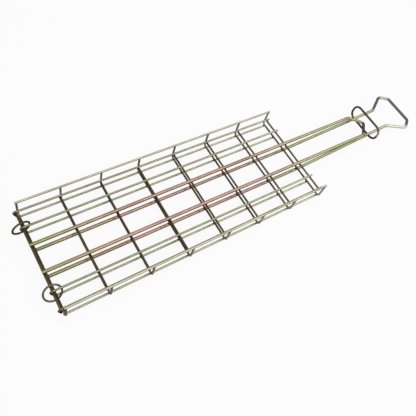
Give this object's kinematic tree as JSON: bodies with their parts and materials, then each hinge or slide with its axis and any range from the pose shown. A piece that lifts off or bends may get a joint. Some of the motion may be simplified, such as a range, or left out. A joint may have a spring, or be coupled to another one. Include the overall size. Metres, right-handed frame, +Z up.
{
  "type": "sandwich toaster grid",
  "caption": "Long hinged wire grid for toasting sandwiches over heat, with looped wire handles, a sliding latch ring and loose hinge rings, in gold-toned plated steel.",
  "frame": {"origin": "on the resting surface, under the middle of the basket", "axes": "+X along the basket towards the handles and the grip, +Y across the basket towards its far side wall, +Z up, away from the resting surface"},
  "size_m": [0.5791, 0.133, 0.0315],
  "materials": {
    "plated_thin_wire": "zinc-plated, yellow passivated, with a dull sheen",
    "plated_handle_wire": "zinc-plated, yellow passivated, brighter and slightly pink in places",
    "plated_ring_wire": "zinc-plated, yellow passivated, darker and worn"
  },
  "bodies": {
    "tray": {"tray_cross_wire_1": "plated_thin_wire", "tray_cross_wire_2": "plated_thin_wire", "tray_cross_wire_3": "plated_thin_wire", "tray_cross_wire_4": "plated_thin_wire", "tray_cross_wire_5": "plated_thin_wire", "tray_cross_wire_6": "plated_thin_wire", "tray_cross_wire_7": "plated_thin_wire", "tray_cross_wire_8": "plated_thin_wire", "tray_side_wire_far": "plated_thin_wire", "tray_side_wire_near": "plated_thin_wire", "tray_mid_wire_far": "plated_thin_wire", "tray_mid_wire_near": "plated_thin_wire", "tray_rim_far": "plated_thin_wire", "tray_rim_near": "plated_thin_wire", "tray_handle_loop": "plated_handle_wire"},
    "lid": {"lid_cross_wire_1": "plated_thin_wire", "lid_cross_wire_2": "plated_thin_wire", "lid_cross_wire_3": "plated_thin_wire", "lid_cross_wire_4": "plated_thin_wire", "lid_cross_wire_5": "plated_thin_wire", "lid_cross_wire_6": "plated_thin_wire", "lid_cross_wire_7": "plated_thin_wire", "lid_cross_wire_8": "plated_thin_wire", "lid_side_wire_far": "plated_thin_wire", "lid_side_wire_near": "plated_thin_wire", "lid_mid_wire_far": "plated_thin_wire", "lid_mid_wire_near": "plated_thin_wire", "lid_handle_loop": "plated_handle_wire"},
    "latch": {"latch_ring": "plated_ring_wire"},
    "far_hinge_ring": {"hinge_ring_far": "plated_ring_wire"},
    "near_hinge_ring": {"hinge_ring_near": "plated_ring_wire"}
  },
  "joints": [
    {"name": "lid_hinge", "type": "hinge", "parent": "tray", "child": "lid", "pos_m": [-0.17825, 0, 0.01605], "axis": [0, -1, 0], "range_deg": [0, 180]},
    {"name": "latch_slide", "type": "slide", "parent": "tray", "child": "latch", "axis": [0.9973, 0, 0.0728], "range_m": [-0.0967, 0.038]},
    {"name": "far_ring_turn", "type": "hinge", "parent": "tray", "child": "far_hinge_ring", "pos_m": [-0.17906, 0.0441, 0.01115], "axis": [-0.1392, 0.9903, 0], "continuous": true},
    {"name": "near_ring_turn", "type": "hinge", "parent": "tray", "child": "near_hinge_ring", "pos_m": [-0.17798, -0.0387, 0.01027], "axis": [0, 0.8387, -0.5446], "continuous": true}
  ]
}
